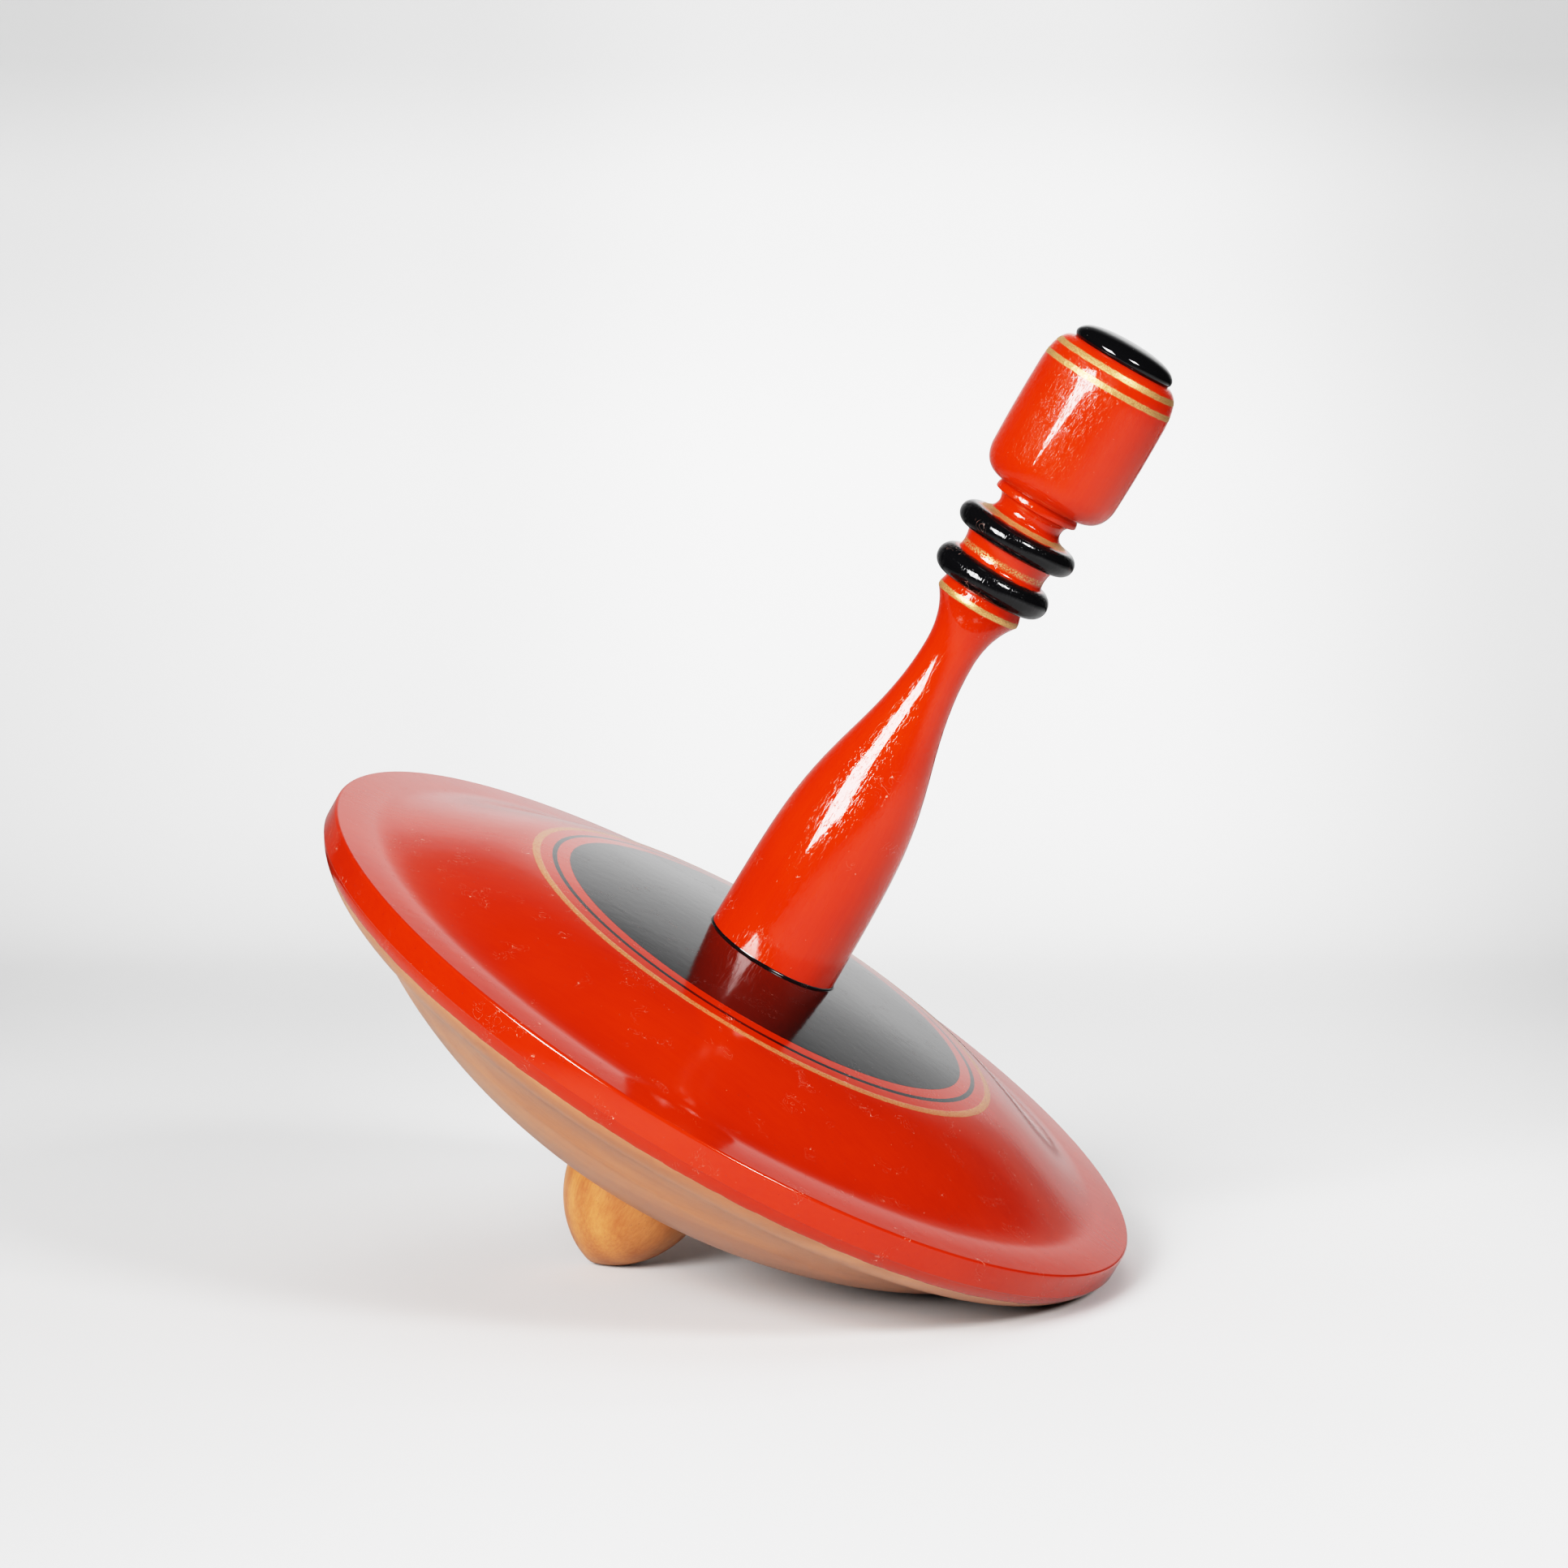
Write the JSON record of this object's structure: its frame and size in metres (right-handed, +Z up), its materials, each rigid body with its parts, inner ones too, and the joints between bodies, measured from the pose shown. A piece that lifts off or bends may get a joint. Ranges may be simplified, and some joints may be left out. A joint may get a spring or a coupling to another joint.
{
  "type": "spinning top",
  "caption": "Hand-twirled spinning top: broad low disc, egg-shaped foot and a long turned handle with beads and a barrel knob, lying at rest on its foot and rim.",
  "frame": {"origin": "centre of the bounding box on the floor plane that the foot and the rim rest on", "axes": "+Z up from the floor; the spin axis lies in the XZ plane and leans 30.8 degrees from +Z toward +X; Y runs along the rim's level diameter"},
  "size_m": [0.1392, 0.1508, 0.157],
  "materials": {
    "disc_lacquer": "glossy vermilion lacquer over turned face-grain wood, black centre field with a black and a gold ring, clear-lacquered bare wood underneath",
    "foot_wood": "clear-lacquered end-grain hardwood",
    "handle_lacquer": "glossy vermilion lacquer, black beads, gold lines",
    "knob_lacquer": "glossy vermilion lacquer with gold lines",
    "cap_lacquer": "glossy black lacquer"
  },
  "bodies": {
    "root": {"disc": "disc_lacquer", "foot": "foot_wood", "handle": "handle_lacquer", "knob": "knob_lacquer", "cap_button": "cap_lacquer"}
  },
  "joints": []
}
